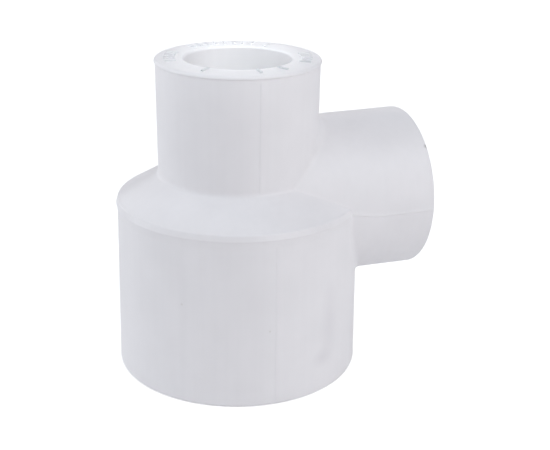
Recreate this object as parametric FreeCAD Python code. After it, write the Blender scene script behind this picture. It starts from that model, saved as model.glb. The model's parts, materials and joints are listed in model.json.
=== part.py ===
"""Socket-fusion reducing tee, 32 x 20 x 20 mm, in white polypropylene.

Millimetres. The run axis is Z. The large socket's mouth lies on z = 0 and faces down, the small run socket
faces up, and the branch socket points along +X at the height of the mould's parting plane.
The real tee is one moulding. Here it is written as its sections, which meet face to face.
"""

import FreeCAD
import Part

import math
import os

from FreeCAD import Vector

# --- lengths along the run and the branch ---
TOTAL_HEIGHT = 58.0
PARTING_HEIGHT = 30.8            # and the height of the branch axis
BRANCH_LENGTH = 33.3             # run axis to branch mouth

# --- large socket, for 32 mm pipe ---
LARGE_BORE_RADIUS = 15.45
LARGE_DEPTH = 18.1
LARGE_MOUTH_RADIUS = 22.6        # outside, with draft up to the parting plane
LARGE_ROOT_RADIUS = 22.2
LARGE_EDGE_ROUND = 0.55

# --- small sockets, for 20 mm pipe ---
SMALL_BORE_RADIUS = 9.65
SMALL_DEPTH = 14.5
SMALL_ROOT_RADIUS = 14.62        # outside of the run tube, with draft down from its mouth
SMALL_MOUTH_RADIUS = 14.77
BRANCH_ROOT_RADIUS = 14.82       # outside of the branch tube, drawn out to the run axis
BRANCH_MOUTH_RADIUS = 15.17
SMALL_LIP_STEP = 0.2             # the run's rim has a low lip, and the branch's has none
SMALL_LIP_HEIGHT = 0.55
SMALL_EDGE_ROUND = 0.5

# --- shoulder between the two run tubes ---
SHOULDER_EDGE_HEIGHT = 32.35     # where the cone meets the large tube's wall, inside the lip
SHOULDER_TOP_HEIGHT = 36.85      # where the cone meets the small tube
SHOULDER_EDGE_ROUND = 0.7
SHOULDER_FOOT_ROUND = 0.9
LIP_RADIUS = 22.45               # a low lip runs round the shoulder and overhangs the wall a little
LIP_CREST_RADIUS = 22.12
LIP_HEIGHT = 31.45
LIP_CREST_HEIGHT = 32.55
LIP_CREST_ROUND = 0.4
LIP_SLOPE = 0.5                  # rise from the crest inward, less than the cone's, so that the lip sinks into it
FLARE_RADIUS = 22.34             # the wall widens to this under the lip
FLARE_FOOT = 29.8

# --- fillets where the branch leaves the run ---
UNDERSIDE_FILLET = 1.2
SHOULDER_FILLET = 0.6
CROTCH_FILLET = 2.4              # at the top of the branch, narrowing down its sides to the shoulder's fillet

# --- passages past the pipe stops ---
CHAMBER_RADIUS = 12.75
CHAMBER_TOP = 33.6               # where the chamber starts to narrow
THROAT_HEIGHT = 39.6             # where it has narrowed to the small passage
SMALL_PASSAGE_RADIUS = 7.0
LEAD_IN = 0.45                   # rounding at each bore's mouth
STOP_ROUND = 0.4                 # rounding on each pipe stop's edge

# --- planes where the sections of the moulding meet ---
LARGE_SOCKET_TOP = 14.4
SMALL_SOCKET_FOOT = 50.2
BRANCH_SOCKET_FOOT = 25.6

# --- raised index marks on the small rims: (middle angle, marks, angle between marks) ---
MARK_HEIGHT = 0.25
MARK_WIDTH = 0.45
TICK_SPAN = (10.6, 12.9)         # radii
BAR_SPAN = (11.3, 13.3)
RUN_TICKS = ((-137.0, 1, 0.0), (-91.0, 1, 0.0), (-68.0, 1, 0.0), (45.0, 1, 0.0))
RUN_BARS = ((162.0, 5, 8.0), (-20.0, 5, 8.0), (87.0, 8, 8.0))
BRANCH_TICKS = ((0.0, 4, 90.0),)

UP = Vector(0, 0, 1)
ORIGIN = Vector(0, 0, 0)
FAR = 100.0                      # past the outside of the tee, for cutting tools


def rounded_corner(before, corner, after, radius):
    """Start, middle and end of the arc that rounds a corner between two straight runs."""
    to_before = (before - corner).normalize()
    to_after = (after - corner).normalize()
    half_angle = to_before.getAngle(to_after) / 2
    inward = (to_before + to_after).normalize()
    centre = corner + inward * (radius / math.sin(half_angle))
    tangent_length = radius / math.tan(half_angle)
    return corner + to_before * tangent_length, centre - inward * radius, corner + to_after * tangent_length


def turned(profile):
    """Solid of revolution about Z from (radius, height, rounding) corners, starting and ending on the axis."""
    points = [Vector(radius, 0, height) for radius, height, _ in profile]
    edges = []
    pen = points[0]
    for i in range(1, len(points) - 1):
        rounding = profile[i][2]
        if rounding:
            start, middle, end = rounded_corner(points[i - 1], points[i], points[i + 1], rounding)
            edges.append(Part.LineSegment(pen, start).toShape())
            edges.append(Part.Arc(start, middle, end).toShape())
            pen = end
        else:
            edges.append(Part.LineSegment(pen, points[i]).toShape())
            pen = points[i]
    edges.append(Part.LineSegment(pen, points[-1]).toShape())
    edges.append(Part.LineSegment(points[-1], points[0]).toShape())
    return Part.Face(Part.Wire(edges)).revolve(ORIGIN, UP, 360)


def onto_branch(shape):
    """Turns a shape made about Z onto the branch axis, so that +Z becomes +X."""
    shape.rotate(ORIGIN, Vector(0, 1, 0), 90)
    shape.translate(Vector(0, 0, PARTING_HEIGHT))
    return shape


def branch_outside():
    """Branch tube from the run axis out to its mouth."""
    profile = [
        (0, 0, 0),
        (BRANCH_ROOT_RADIUS, 0, 0),
        (BRANCH_MOUTH_RADIUS, BRANCH_LENGTH, SMALL_EDGE_ROUND),
        (0, BRANCH_LENGTH, 0),
    ]
    return onto_branch(turned(profile))


def large_run():
    """Outside of the large tube, carried on upward past the parting plane."""
    draft = (LARGE_MOUTH_RADIUS - LARGE_ROOT_RADIUS) / PARTING_HEIGHT
    profile = [
        (0, 0, 0),
        (LARGE_MOUTH_RADIUS, 0, LARGE_EDGE_ROUND),
        (LARGE_MOUTH_RADIUS - draft * TOTAL_HEIGHT, TOTAL_HEIGHT, 0),
        (0, TOTAL_HEIGHT, 0),
    ]
    return turned(profile)


def shoulder_lip():
    """Low lip round the shoulder, and the slight widening of the wall under it."""
    lip = [
        (0, LIP_HEIGHT, 0),
        (LIP_RADIUS, LIP_HEIGHT, 0),
        (LIP_CREST_RADIUS, LIP_CREST_HEIGHT, LIP_CREST_ROUND),
        (SMALL_ROOT_RADIUS, LIP_CREST_HEIGHT + LIP_SLOPE, 0),
        (0, LIP_CREST_HEIGHT + LIP_SLOPE, 0),
    ]
    flare = [
        (0, FLARE_FOOT, 0),
        (LARGE_ROOT_RADIUS, FLARE_FOOT, 0),
        (FLARE_RADIUS, LIP_HEIGHT, 0),
        (0, LIP_HEIGHT, 0),
    ]
    return turned(lip).fuse(turned(flare))


def small_run():
    """Outside of the shoulder and the small tube, with the wall below the shoulder carried on downward."""
    lip_radius = SMALL_MOUTH_RADIUS + SMALL_LIP_STEP
    lip_foot = TOTAL_HEIGHT - SMALL_LIP_HEIGHT
    profile = [
        (0, 0, 0),
        (LARGE_ROOT_RADIUS, 0, 0),
        (LARGE_ROOT_RADIUS, SHOULDER_EDGE_HEIGHT, SHOULDER_EDGE_ROUND),
        (SMALL_ROOT_RADIUS, SHOULDER_TOP_HEIGHT, SHOULDER_FOOT_ROUND),
        (SMALL_MOUTH_RADIUS, lip_foot - SMALL_LIP_STEP, 0),
        (lip_radius, lip_foot, 0),
        (lip_radius, TOTAL_HEIGHT, SMALL_EDGE_ROUND),
        (0, TOTAL_HEIGHT, 0),
    ]
    return turned(profile)


def follows_branch_root(edge):
    """Whether an edge lies along the line where the branch leaves the run."""
    span = edge.LastParameter - edge.FirstParameter
    points = [edge.valueAt(edge.FirstParameter + span * i / 4) for i in range(5)]
    from_axis = [math.hypot(p.y, p.z - PARTING_HEIGHT) for p in points]
    on_branch = all(abs(distance - BRANCH_ROOT_RADIUS) < 0.3 for distance in from_axis)
    return on_branch and all(0 < p.x < BRANCH_SOCKET_FOOT for p in points)


def with_branch(run, fillet, top_fillet):
    """A run fused to the branch, with a fillet between them whose radius is larger at the branch's top."""
    document = FreeCAD.newDocument()
    fused = document.addObject("Part::Feature")
    fused.Shape = run.fuse(branch_outside())
    filleted = document.addObject("Part::Fillet")
    filleted.Base = fused
    chosen = []
    for number, edge in enumerate(fused.Shape.Edges, start=1):
        if follows_branch_root(edge):
            ends = [edge.valueAt(edge.LastParameter), edge.valueAt(edge.FirstParameter)]
            at_top = [abs(p.y) < 0.01 and p.z > PARTING_HEIGHT for p in ends]
            chosen.append((number, *[top_fillet if top else fillet for top in at_top]))
    filleted.Edges = chosen
    document.recompute()
    return filleted.Shape.copy()


def run_inside():
    """Everything that is open along the run: large bore, chamber, throat and small bore."""
    small_stop = TOTAL_HEIGHT - SMALL_DEPTH
    profile = [
        (0, -FAR, 0),
        (FAR, -FAR, 0),
        (FAR, 0, 0),
        (LARGE_BORE_RADIUS, 0, LEAD_IN),
        (LARGE_BORE_RADIUS, LARGE_DEPTH, 0),
        (CHAMBER_RADIUS, LARGE_DEPTH, STOP_ROUND),
        (CHAMBER_RADIUS, CHAMBER_TOP, 0),
        (SMALL_PASSAGE_RADIUS, THROAT_HEIGHT, 0),
        (SMALL_PASSAGE_RADIUS, small_stop, STOP_ROUND),
        (SMALL_BORE_RADIUS, small_stop, 0),
        (SMALL_BORE_RADIUS, TOTAL_HEIGHT, LEAD_IN),
        (FAR, TOTAL_HEIGHT, 0),
        (FAR, TOTAL_HEIGHT + FAR, 0),
        (0, TOTAL_HEIGHT + FAR, 0),
    ]
    return turned(profile)


def branch_inside():
    """Everything that is open along the branch, from the run axis out."""
    stop = BRANCH_LENGTH - SMALL_DEPTH
    profile = [
        (0, 0, 0),
        (SMALL_PASSAGE_RADIUS, 0, 0),
        (SMALL_PASSAGE_RADIUS, stop, STOP_ROUND),
        (SMALL_BORE_RADIUS, stop, 0),
        (SMALL_BORE_RADIUS, BRANCH_LENGTH, LEAD_IN),
        (FAR, BRANCH_LENGTH, 0),
        (FAR, BRANCH_LENGTH + FAR, 0),
        (0, BRANCH_LENGTH + FAR, 0),
    ]
    return onto_branch(turned(profile))


def slab(low, high, axis):
    """A large block between two planes across the x or the z axis."""
    corner = Vector(-FAR, -FAR, -FAR)
    size = Vector(2 * FAR, 2 * FAR, 2 * FAR)
    setattr(corner, axis, low)
    setattr(size, axis, high - low)
    return Part.makeBox(size.x, size.y, size.z, corner)


def bar(angle, span, height):
    """One raised radial mark that stands on the plane at that height."""
    inner, outer = span
    block = Part.makeBox(outer - inner, MARK_WIDTH, MARK_HEIGHT, Vector(inner, -MARK_WIDTH / 2, height))
    block.rotate(ORIGIN, UP, angle)
    return block


def marks(groups, span, height):
    """Raised marks in groups of (middle angle, number of marks, angle between marks)."""
    made = []
    for middle, count, pitch in groups:
        first = middle - pitch * (count - 1) / 2
        made += [bar(first + pitch * i, span, height) for i in range(count)]
    return made


def sections():
    """The sections of the moulding, by node name. The body's two halves meet at the mould's parting plane."""
    opening = run_inside().fuse(branch_inside())
    large_tube = with_branch(large_run(), UNDERSIDE_FILLET, UNDERSIDE_FILLET)
    small_tube = with_branch(small_run(), SHOULDER_FILLET, CROTCH_FILLET)
    below = large_tube.fuse(shoulder_lip()).cut(opening)
    above = small_tube.fuse(shoulder_lip()).cut(opening)
    inboard = slab(-FAR, BRANCH_SOCKET_FOOT, "x")
    return {
        "large_run_socket": below.common(slab(-FAR, LARGE_SOCKET_TOP, "z")),
        "lower_body": below.common(slab(LARGE_SOCKET_TOP, PARTING_HEIGHT, "z")).common(inboard),
        "upper_body": above.common(slab(PARTING_HEIGHT, SMALL_SOCKET_FOOT, "z")).common(inboard),
        "small_run_socket": above.common(slab(SMALL_SOCKET_FOOT, FAR, "z")),
        "branch_socket": branch_outside().common(slab(BRANCH_SOCKET_FOOT, FAR, "x")).cut(opening),
        "run_rim_marks": Part.makeCompound(
            marks(RUN_TICKS, TICK_SPAN, TOTAL_HEIGHT) + marks(RUN_BARS, BAR_SPAN, TOTAL_HEIGHT)
        ),
        "branch_rim_marks": onto_branch(
            Part.makeCompound(marks(BRANCH_TICKS, TICK_SPAN, BRANCH_LENGTH))
        ),
    }


os.makedirs("parts", exist_ok=True)
for node, shape in sections().items():
    print(node, len(shape.Solids), "solids,", round(shape.Volume, 1), "mm3, valid:", shape.isValid())
    shape.exportStep("parts/" + node + ".step")
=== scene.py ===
import json
import math

import bpy
from mathutils import Matrix, Vector
from mathutils.bvhtree import BVHTree

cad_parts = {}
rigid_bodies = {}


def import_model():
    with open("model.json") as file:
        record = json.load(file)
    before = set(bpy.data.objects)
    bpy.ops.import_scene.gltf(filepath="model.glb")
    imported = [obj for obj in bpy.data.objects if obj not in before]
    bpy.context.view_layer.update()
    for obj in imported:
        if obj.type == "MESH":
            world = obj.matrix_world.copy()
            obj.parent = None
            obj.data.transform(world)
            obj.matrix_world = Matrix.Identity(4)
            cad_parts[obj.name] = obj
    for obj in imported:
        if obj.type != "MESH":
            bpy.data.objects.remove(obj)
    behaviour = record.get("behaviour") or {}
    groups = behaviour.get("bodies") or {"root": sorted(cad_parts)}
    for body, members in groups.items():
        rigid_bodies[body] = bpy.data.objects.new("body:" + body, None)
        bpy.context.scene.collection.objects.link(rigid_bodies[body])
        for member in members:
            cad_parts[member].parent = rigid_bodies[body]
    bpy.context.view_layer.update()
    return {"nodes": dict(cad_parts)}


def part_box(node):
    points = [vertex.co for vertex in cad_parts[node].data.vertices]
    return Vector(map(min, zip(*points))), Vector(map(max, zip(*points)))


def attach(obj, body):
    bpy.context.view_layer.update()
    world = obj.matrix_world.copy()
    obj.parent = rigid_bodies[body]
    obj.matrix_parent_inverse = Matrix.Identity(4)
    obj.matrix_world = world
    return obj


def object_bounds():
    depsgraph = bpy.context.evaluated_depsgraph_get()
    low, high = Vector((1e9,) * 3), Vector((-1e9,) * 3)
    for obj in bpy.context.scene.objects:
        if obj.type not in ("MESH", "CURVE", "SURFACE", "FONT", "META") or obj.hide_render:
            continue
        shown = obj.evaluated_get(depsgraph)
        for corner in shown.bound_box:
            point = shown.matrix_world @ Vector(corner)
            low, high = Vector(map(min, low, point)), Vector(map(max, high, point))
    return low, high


MM = 0.001

# --- camera ---
CAMERA_AZIMUTH = math.radians(-20.9)
CAMERA_ELEVATION = math.radians(20.9)
CAMERA_ROLL = math.radians(0.83)
CAMERA_DISTANCE = 205.5 * MM
CAMERA_AIM = Vector((6.10, -3.70, 26.65)) * MM
FOCAL_LENGTH = 72.0
SENSOR_WIDTH = 36.0
CLIP_START = 0.01

# --- studio lights ---
WHITE = (1.0, 1.0, 1.0)
PALE = (0.94, 0.98, 1.0)
COOL = (0.72, 0.9, 1.0)
SOFTBOX_DISTANCE = 1.0
SOFTBOX_SIZE = 0.6
SOFTBOXES = {
    # turn from the camera, elevation, power, colour
    "left": (-90, 15, 2.65, PALE),
    "left_back": (-135, 15, 1.1, WHITE),
    "back": (180, 15, 0.65, WHITE),
    "right_back": (135, 15, 0.5, COOL),
    "right": (45, 15, 1.6, WHITE),
    "key": (60, 45, 2.45, PALE),
    "left_top": (-60, 45, 1.0, COOL),
    "left_back_top": (-120, 45, 0.5, WHITE),
    "back_top": (180, 45, 0.35, COOL),
    "right_back_top": (120, 45, 0.1, WHITE),
    "top": (0, 80, 1.1, COOL),
}
SPOTS = {
    # elevation, radius of the pool of light, power,
    # and how far behind and below the small mouth's middle it aims
    "rim": (55, 13.6, 2.5, 0.0, 0.0),
    "bore": (40, 9.5, 2.0, 9.7, 3.5),
}
SPOT_DISTANCE = 0.5
SPOT_COLOUR = (0.93, 1.0, 0.99)
SPOT_BLEND = 0.3
SPOT_SOFTNESS = 4 * MM
WORLD_COLOUR = (1.0, 0.9, 0.95)
WORLD_STRENGTH = 0.285

# --- floors ---
FLOOR_SIDES = 64
FLOOR_PROFILE = (                # radius and rise of its edge, in metres
    (3.0, 0),
    (3.4, 0.06),
    (3.8, 0.3),
    (4.0, 0.8),
    (4.1, 3.0),
)
FLOOR_COLOUR = (0.9, 0.9, 0.9)
FLOOR_ROUGHNESS = 0.9
FLOOR_GLOW = 0.48                # near the tee
FLOOR_FAR_GLOW = 1.0
FLOOR_GLOW_SPAN = (0.3, 1.2)     # distances between which it rises
SEEN_FLOOR_HEIGHT = -0.02 * MM
BOUNCE_FLOOR_HEIGHT = -0.1 * MM

# --- the plastic: each texture's scale and detail, and the span of its values that is used ---
CLOUDS = (110, 3)
STREAKS = (900, 2)
STREAK_STRETCH = (1, 1, 0.035)
SKIN = (1600, 2)
SPECK_SCALE = 120
SPECK_SPAN = (0.032, 0.014)      # distance from a speck's middle, from clean to dark
STREAKS_IN_TONE = 0.35
TONE_SPAN = (0.45, 0.9)
PLASTIC_TONES = ((0.898, 0.888, 0.902), (0.935, 0.924, 0.938))
MARK_SHADED_TONES = ((0.84, 0.845, 0.865), (0.9, 0.9, 0.915))    # the rims' raised marks: a darker tone, painted shade with some grime
MARK_FRONT_SHADE_COLOUR = (0.74, 0.755, 0.775)    # painted shade on the marks toward the front
MARK_FRONT_SHADE_SPAN = (-6 * MM, -7.5 * MM)      # along Y, from unshaded to fully shaded
SPECK_COLOUR = (0.83, 0.815, 0.81)
# darker soft patches on the large tube
DARK_PATCH_COLOUR = (0.81, 0.795, 0.82)
DARK_PATCHES = (
    # on the large tube: angle about the run axis from +X, height, half width, half height, strength
    (-61.5, 13.0, 2.6, 9.5, 0.5),
    (-66.0, 6.8, 2.6, 2.2, 0.6),
)
# a nick on the branch's rim, left out of the geometry: its shade is painted as a dark spot
NICK_SHADE_COLOUR = (0.45, 0.44, 0.42)
NICK_ANGLE = 45                  # on the branch's rim, about the branch's axis, up from the front
NICK_INSET = 0.25 * MM
NICK_SIZE = 0.6 * MM
SKIN_IN_ROUGHNESS = 0.3
ROUGHNESS_SPAN = (0.4, 0.85)
ROUGHNESS = (0.3, 0.44)
STREAKS_IN_BUMP = 0.6
BUMP_STRENGTH = 0.35
BUMP_HEIGHT = 0.02 * MM
PLASTIC_IOR = 1.49

# --- witness lines, low ridges that the mould's joints leave on the moulding, in millimetres ---
RUN_RIDGE = (0.3, 1.6)           # widths of a ridge's steep and gentle sides
PARTING_RIDGE = (0.24, 0.7)
SMALL_LINE_ANGLE = -93.4         # about the run axis, from +X
LARGE_LINE_ANGLE = -91.2
SMALL_LINE_HEIGHT = 0.062
LARGE_LINE_HEIGHT = 0.056
PARTING_LINE_HEIGHT = 0.09
SMALL_LINE_FOOT = 6.0            # above the parting plane
SMALL_LINE_TOP = 0.75            # below the small mouth
LARGE_LINE_FOOT = 0.7            # above the large mouth
LARGE_LINE_TOP = 0.5             # above the parting plane
PARTING_LINE_END = 0.2           # from the branch's mouth
PARTING_DROP = 0.3               # the branch's line runs this far below its axis
PARTING_RISE = 0.7               # and climbs this far to meet the shoulder's lip
PARTING_RISE_LENGTH = 6.0
RIDGE_SINK = 0.02                # depth of a ridge's edges below the wall's surface
RIDGE_FOOT = 0.12                # depth of a ridge's foot below the wall's surface
RIDGE_TAPER = 0.75               # length over which a ridge's ends run out
RIDGE_STEP = 0.25                # length between its stations
RIDGE_WAVER = 0.15               # share of its height that wavers along it
RIDGE_WAVES = (0.45, 0.18)       # radians from one station to the next, in the two waves of that
SECTION_STEPS = 10               # across each side of a ridge
MEASURE_INSET = 1.5              # a tube is measured this far from a line's ends
ROOT_MEASURE_INSET = 3.0         # or this far from the branch's root
FACET_SEARCH = math.radians(0.6)
FACET_SEARCH_STEPS = 4           # to each side
RAY_START = 60                   # distance from a tube's axis that rays start at


def clear_startup_scene():
    for item in list(bpy.data.objects):
        bpy.data.objects.remove(item)


def toward_camera(turn, elevation):
    """Direction from the object to a point at that turn from the camera's azimuth and that elevation."""
    azimuth, level = CAMERA_AZIMUTH + turn, math.cos(elevation)
    return Vector((math.sin(azimuth) * level, -math.cos(azimuth) * level, math.sin(elevation)))


def add_camera():
    """The camera looks at its aim from its azimuth and elevation, and rolls a little about its own axis."""
    back = toward_camera(0, CAMERA_ELEVATION)
    right = Vector((math.cos(CAMERA_AZIMUTH), math.sin(CAMERA_AZIMUTH), 0))
    roll = Matrix.Rotation(CAMERA_ROLL, 3, back)
    axes = (roll @ right, roll @ back.cross(right), back)
    data = bpy.data.cameras.new("camera")
    data.lens = FOCAL_LENGTH
    data.sensor_width = SENSOR_WIDTH
    data.clip_start = CLIP_START
    camera = bpy.data.objects.new("camera", data)
    place = Matrix.Translation(CAMERA_AIM + back * CAMERA_DISTANCE)
    camera.matrix_world = place @ Matrix(axes).transposed().to_4x4()
    bpy.context.scene.collection.objects.link(camera)
    bpy.context.scene.camera = camera


def place_light(name, data, direction, target, distance):
    light = bpy.data.objects.new(name, data)
    light.location = target + direction * distance
    light.rotation_mode = "QUATERNION"
    light.rotation_quaternion = (-direction).to_track_quat("-Z", "Y")
    bpy.context.scene.collection.objects.link(light)


def add_lights(middle, mouth):
    """Softboxes all round the tee, and spots at its small mouth."""
    for name, (turn, elevation, power, colour) in SOFTBOXES.items():
        data = bpy.data.lights.new(name, "AREA")
        data.shape = "SQUARE"
        data.size = SOFTBOX_SIZE
        data.energy = power
        data.color = colour
        direction = toward_camera(math.radians(turn), math.radians(elevation))
        place_light(name + "_softbox", data, direction, middle, SOFTBOX_DISTANCE)
    for name, (elevation, reach, power, behind, below) in SPOTS.items():
        data = bpy.data.lights.new(name, "SPOT")
        data.energy = power
        data.color = SPOT_COLOUR
        data.spot_size = 2 * math.atan(reach * MM / SPOT_DISTANCE)
        data.spot_blend = SPOT_BLEND
        data.shadow_soft_size = SPOT_SOFTNESS
        aim = mouth - toward_camera(0, 0) * behind * MM - Vector((0, 0, below * MM))
        place_light(name + "_spot", data, toward_camera(0, math.radians(elevation)), aim, SPOT_DISTANCE)


def add_floor(name, height, profile, glow):
    """A round pale floor whose edge follows the profile. A glowing one gives off more light farther out."""
    corners = []
    for radius, rise in profile:
        for i in range(FLOOR_SIDES):
            turn = 2 * math.pi * i / FLOOR_SIDES
            corners.append((radius * math.cos(turn), radius * math.sin(turn), height + rise))
    faces = [list(range(FLOOR_SIDES))]
    for ring in range(len(profile) - 1):
        inner, outer = ring * FLOOR_SIDES, (ring + 1) * FLOOR_SIDES
        for i in range(FLOOR_SIDES):
            j = (i + 1) % FLOOR_SIDES
            faces.append([inner + i, outer + i, outer + j, inner + j])
    mesh = bpy.data.meshes.new(name)
    mesh.from_pydata(corners, [], faces)
    floor = bpy.data.objects.new(name, mesh)
    bpy.context.scene.collection.objects.link(floor)
    material = bpy.data.materials.new(name)
    material.use_nodes = True
    nodes, links = material.node_tree.nodes, material.node_tree.links
    shader = nodes["Principled BSDF"]
    shader.inputs["Base Color"].default_value = (*FLOOR_COLOUR, 1)
    shader.inputs["Roughness"].default_value = FLOOR_ROUGHNESS
    shader.inputs["Specular IOR Level"].default_value = 0.0
    if glow:
        shader.inputs["Emission Color"].default_value = (1, 1, 1, 1)
        place = nodes.new("ShaderNodeTexCoord")
        distance = nodes.new("ShaderNodeVectorMath")
        distance.operation = "LENGTH"
        links.new(place.outputs["Object"], distance.inputs[0])
        rising = nodes.new("ShaderNodeMapRange")
        rising.inputs["From Min"].default_value = FLOOR_GLOW_SPAN[0]
        rising.inputs["From Max"].default_value = FLOOR_GLOW_SPAN[1]
        rising.inputs["To Min"].default_value = glow
        rising.inputs["To Max"].default_value = FLOOR_FAR_GLOW
        links.new(distance.outputs["Value"], rising.inputs["Value"])
        links.new(rising.outputs["Result"], shader.inputs["Emission Strength"])
    mesh.materials.append(material)
    return floor


def add_studio():
    """Lights, a dim world and two floors: one is seen and doesn't light the tee, the other the reverse."""
    scene = bpy.context.scene
    scene.view_settings.view_transform = "Standard"
    world = bpy.data.worlds.new("studio")
    world.use_nodes = True
    background = world.node_tree.nodes["Background"]
    background.inputs["Color"].default_value = (*WORLD_COLOUR, 1)
    background.inputs["Strength"].default_value = WORLD_STRENGTH
    scene.world = world
    low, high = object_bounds()
    middle = (Vector(low) + Vector(high)) / 2
    mouth = Vector((0, 0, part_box("small_run_socket")[1].z))
    add_lights(middle, mouth)
    seen = add_floor("floor", SEEN_FLOOR_HEIGHT, FLOOR_PROFILE, FLOOR_GLOW)
    seen.visible_diffuse = False
    seen.visible_glossy = False
    seen.visible_shadow = False
    bounce = add_floor("floor_bounce", BOUNCE_FLOOR_HEIGHT, FLOOR_PROFILE[:1], 0)
    bounce.visible_camera = False


def white_plastic(name, tones, front_shaded):
    """Glossy white polypropylene with flow clouding, mould-draw streaks, a fine skin and rare specks,
    darker soft patches on the large tube, painted shade at a nick on the branch's rim, and, if asked,
    painted shade toward the front.
    """
    material = bpy.data.materials.new(name)
    material.use_nodes = True
    nodes, links = material.node_tree.nodes, material.node_tree.links
    shader = nodes["Principled BSDF"]
    shader.inputs["IOR"].default_value = PLASTIC_IOR
    place = nodes.new("ShaderNodeTexCoord")

    def noise(scale, detail, stretch=(1, 1, 1)):
        """Noise over the moulding. A stretch below 1 lengthens it along that axis."""
        mapping = nodes.new("ShaderNodeMapping")
        mapping.inputs["Scale"].default_value = stretch
        links.new(place.outputs["Object"], mapping.inputs["Vector"])
        texture = nodes.new("ShaderNodeTexNoise")
        texture.inputs["Scale"].default_value = scale
        texture.inputs["Detail"].default_value = detail
        links.new(mapping.outputs["Vector"], texture.inputs["Vector"])
        return texture.outputs["Fac"]

    def spread(value, low, high, to_low=0.0, to_high=1.0):
        """The value, carried from one span to another and kept within it."""
        remap = nodes.new("ShaderNodeMapRange")
        remap.inputs["From Min"].default_value = low
        remap.inputs["From Max"].default_value = high
        remap.inputs["To Min"].default_value = to_low
        remap.inputs["To Max"].default_value = to_high
        links.new(value, remap.inputs["Value"])
        return remap.outputs["Result"]

    def mixed(factor, a, b):
        """Colour a where the factor is 0, and b where it is 1."""
        mix = nodes.new("ShaderNodeMix")
        mix.data_type = "RGBA"
        links.new(factor, mix.inputs["Factor"])
        for socket, colour in (("A", a), ("B", b)):
            target = [item for item in mix.inputs if item.name == socket and item.type == "RGBA"][0]
            if isinstance(colour, tuple):
                target.default_value = (*colour, 1)
            else:
                links.new(colour, target)
        return [item for item in mix.outputs if item.type == "RGBA"][0]

    def added(a, b, weight):
        """a plus the weighted b."""
        math_node = nodes.new("ShaderNodeMath")
        math_node.operation = "MULTIPLY_ADD"
        links.new(b, math_node.inputs[0])
        math_node.inputs[1].default_value = weight
        links.new(a, math_node.inputs[2])
        return math_node.outputs["Value"]

    def vector_step(operation, vector, other=None):
        step = nodes.new("ShaderNodeVectorMath")
        step.operation = operation
        links.new(vector, step.inputs[0])
        if other:
            step.inputs[1].default_value = other
        return step

    def with_dark_patch(body, centre, half_width, half_height, strength, colour):
        """The body colour blended toward the colour in a soft round or upright patch."""
        shift = vector_step("SUBTRACT", place.outputs["Object"], centre)
        stretch = vector_step("DIVIDE", shift.outputs["Vector"], (half_width, half_width, half_height))
        size = vector_step("LENGTH", stretch.outputs["Vector"])
        return mixed(spread(size.outputs["Value"], 1.0, 0.0, 0.0, strength), body, colour)

    clouds = noise(*CLOUDS)
    streaks = noise(*STREAKS, STREAK_STRETCH)
    skin = noise(*SKIN)
    specks = nodes.new("ShaderNodeTexVoronoi")
    specks.inputs["Scale"].default_value = SPECK_SCALE
    links.new(place.outputs["Object"], specks.inputs["Vector"])

    body = mixed(spread(added(clouds, streaks, STREAKS_IN_TONE), *TONE_SPAN), *tones)
    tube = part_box("lower_body")[1]
    # darker soft patches on the large tube
    for angle, height, half_width, half_height, strength in DARK_PATCHES:
        turn = math.radians(angle)
        centre = (tube.y * math.cos(turn), tube.y * math.sin(turn), height * MM)
        body = with_dark_patch(body, centre, half_width * MM, half_height * MM, strength, DARK_PATCH_COLOUR)
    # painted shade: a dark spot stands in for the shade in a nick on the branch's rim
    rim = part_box("branch_socket")[1]
    turn = math.radians(NICK_ANGLE)
    centre = (rim.x - NICK_INSET, -rim.y * math.cos(turn), tube.z + rim.y * math.sin(turn))
    body = with_dark_patch(body, centre, NICK_SIZE, NICK_SIZE, 1.0, NICK_SHADE_COLOUR)
    # painted shade: darker toward the front, along -Y
    if front_shaded:
        split = nodes.new("ShaderNodeSeparateXYZ")
        links.new(place.outputs["Object"], split.inputs["Vector"])
        body = mixed(spread(split.outputs["Y"], *MARK_FRONT_SHADE_SPAN), body, MARK_FRONT_SHADE_COLOUR)
    dark = spread(specks.outputs["Distance"], *SPECK_SPAN)
    links.new(mixed(dark, body, SPECK_COLOUR), shader.inputs["Base Color"])
    patchy = added(clouds, skin, SKIN_IN_ROUGHNESS)
    links.new(spread(patchy, *ROUGHNESS_SPAN, *ROUGHNESS), shader.inputs["Roughness"])

    bump = nodes.new("ShaderNodeBump")
    bump.inputs["Strength"].default_value = BUMP_STRENGTH
    bump.inputs["Distance"].default_value = BUMP_HEIGHT
    links.new(added(skin, streaks, STREAKS_IN_BUMP), bump.inputs["Height"])
    links.new(bump.outputs["Normal"], shader.inputs["Normal"])
    return material


def cad_surface(nodes):
    """The CAD model's surface as a tree that rays can be cast at."""
    corners, faces = [], []
    for node in nodes.values():
        first = len(corners)
        corners += [vertex.co.copy() for vertex in node.data.vertices]
        faces += [[first + i for i in polygon.vertices] for polygon in node.data.polygons]
    return BVHTree.FromPolygons(corners, faces)


def round_run(along, turn):
    """A point on the run's axis at that height, and the way outward at that turn from +X."""
    return Vector((0, 0, along)), Vector((math.cos(turn), math.sin(turn), 0))


def round_branch(axis_height, side):
    """The same for the branch's axis, on one side of it, with the turn measured upward from level."""
    def place(along, turn):
        return Vector((along, 0, axis_height)), Vector((0, side * math.cos(turn), math.sin(turn)))
    return place


def tube_radius(surface, place, along, turn):
    """A tube's outside radius there, which its mesh reaches at the corners of its facets."""
    reach = []
    for step in range(-FACET_SEARCH_STEPS, FACET_SEARCH_STEPS + 1):
        centre, outward = place(along, turn + step * FACET_SEARCH)
        hit = surface.ray_cast(centre + outward * RAY_START * MM, -outward)[0]
        reach.append((hit - centre).length)
    return max(reach)


def eased(share):
    """A share from 0 to 1 that starts and ends gently."""
    return share * share * (3 - 2 * share)


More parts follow.
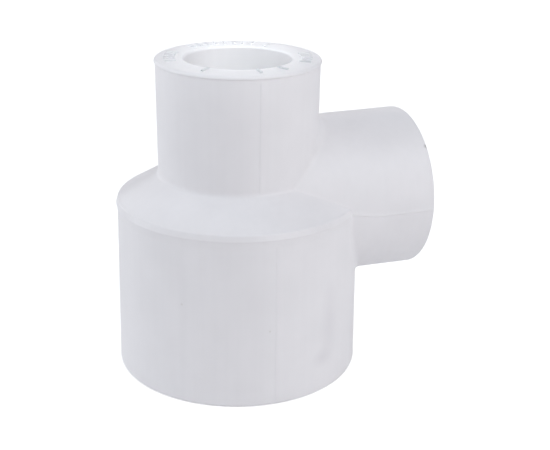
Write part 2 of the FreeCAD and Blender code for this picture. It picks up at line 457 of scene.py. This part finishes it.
def ridge_section(steep, gentle):
    """Across a ridge: distance from its crest, and share of its height there."""
    shares = [i / SECTION_STEPS for i in range(SECTION_STEPS + 1)]
    climb = [(steep * (share - 1), eased(share)) for share in shares]
    fall = [(gentle * share, 1 - eased(share)) for share in shares]
    return climb + fall[1:]


def ridge_strength(station, count):
    """Share of a ridge's full height at a station: it wavers a little, and runs out toward both ends."""
    from_end = min(station, count - 1 - station) * RIDGE_STEP
    waves = math.sin(station * RIDGE_WAVES[0]), math.cos(station * RIDGE_WAVES[1])
    unevenness = 1 - RIDGE_WAVER + RIDGE_WAVER * waves[0] * waves[1]
    return min(1.0, from_end / RIDGE_TAPER) * unevenness


def add_ridge(name, surface, place, ends, measured, turns, section, height, material):
    """A low ridge along a tapered tube, with one turn for each station, spread evenly between its ends."""
    count = len(turns)
    low, high = measured
    low_radius = tube_radius(surface, place, low, turns[-1])
    high_radius = tube_radius(surface, place, high, turns[-1])
    width = len(section) + 2
    corners, faces = [], []
    for i, turn in enumerate(turns):
        along = ends[0] + (ends[1] - ends[0]) * i / (count - 1)
        radius = low_radius + (high_radius - low_radius) * (along - low) / (high - low)
        full = (height + RIDGE_SINK) * ridge_strength(i, count)
        outline = [(across, full * share - RIDGE_SINK) for across, share in section]
        outline += [(section[-1][0], -RIDGE_FOOT), (section[0][0], -RIDGE_FOOT)]
        for across, proud in outline:
            centre, outward = place(along, turn + across * MM / radius)
            corners.append(centre + outward * (radius + proud * MM))
    for i in range(count - 1):
        for j in range(width):
            k = (j + 1) % width
            faces.append([i * width + j, (i + 1) * width + j, (i + 1) * width + k, i * width + k])
    faces.append(list(range(width)))
    faces.append([(count - 1) * width + j for j in reversed(range(width))])
    mesh = bpy.data.meshes.new(name)
    mesh.from_pydata(corners, [], faces)
    mesh.materials.append(material)
    for number, polygon in enumerate(mesh.polygons):
        polygon.use_smooth = number < (count - 1) * width and number % width < len(section) - 1
    ridge = bpy.data.objects.new(name, mesh)
    bpy.context.scene.collection.objects.link(ridge)
    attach(ridge, "root")


def station_count(ends):
    return round((ends[1] - ends[0]) / (RIDGE_STEP * MM)) + 1


def add_run_lines(surface, material):
    """Upright witness lines on the two run tubes, front and back."""
    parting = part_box("lower_body")[1].z
    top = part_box("small_run_socket")[1].z
    small_ends = (parting + SMALL_LINE_FOOT * MM, top - SMALL_LINE_TOP * MM)
    large_ends = (LARGE_LINE_FOOT * MM, parting + LARGE_LINE_TOP * MM)
    tubes = {
        "small_tube": (small_ends, SMALL_LINE_ANGLE, SMALL_LINE_HEIGHT),
        "large_tube": (large_ends, LARGE_LINE_ANGLE, LARGE_LINE_HEIGHT),
    }
    front_section = ridge_section(*RUN_RIDGE)
    back_section = [(-across, share) for across, share in reversed(front_section)]
    for name, (ends, angle, height) in tubes.items():
        measured = (ends[0] + MEASURE_INSET * MM, ends[1] - MEASURE_INSET * MM)
        for side, turn, section in (("front", angle, front_section), ("back", -angle, back_section)):
            turns = [math.radians(turn)] * station_count(ends)
            ridge_name = f"{name}_witness_line_{side}"
            add_ridge(ridge_name, surface, round_run, ends, measured, turns, section, height, material)


def add_branch_lines(surface, material):
    """The mould's parting line along each side of the branch, which climbs to the shoulder's lip."""
    axis_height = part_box("lower_body")[1].z
    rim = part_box("branch_socket")[1]
    lip_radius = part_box("upper_body")[1].y
    start = math.sqrt(lip_radius ** 2 - rim.y ** 2)
    ends = (start, rim.x - PARTING_LINE_END * MM)
    measured = (start + ROOT_MEASURE_INSET * MM, rim.x - MEASURE_INSET * MM)
    turns = []
    for i in range(station_count(ends)):
        nearness = max(0.0, 1 - i * RIDGE_STEP / PARTING_RISE_LENGTH)
        rise = PARTING_RISE * eased(nearness) - PARTING_DROP
        turns.append(rise * MM / rim.y)
    section = ridge_section(*PARTING_RIDGE)
    for side, direction in (("front", -1), ("back", 1)):
        name = f"branch_parting_line_{side}"
        place = round_branch(axis_height, direction)
        add_ridge(name, surface, place, ends, measured, turns, section, PARTING_LINE_HEIGHT, material)


clear_startup_scene()
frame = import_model()
add_camera()
add_studio()
plastic = white_plastic("white_polypropylene", PLASTIC_TONES, front_shaded=False)
# the rims' marks get a darker tone, painted shade with some grime, and painted shade toward the front
shaded_mark_plastic = white_plastic("rim_mark_shaded_polypropylene", MARK_SHADED_TONES, front_shaded=True)
for name, node in frame["nodes"].items():
    for slot in node.material_slots:
        slot.material = shaded_mark_plastic if name.endswith("rim_marks") else plastic
surface = cad_surface(frame["nodes"])
add_run_lines(surface, plastic)
add_branch_lines(surface, plastic)
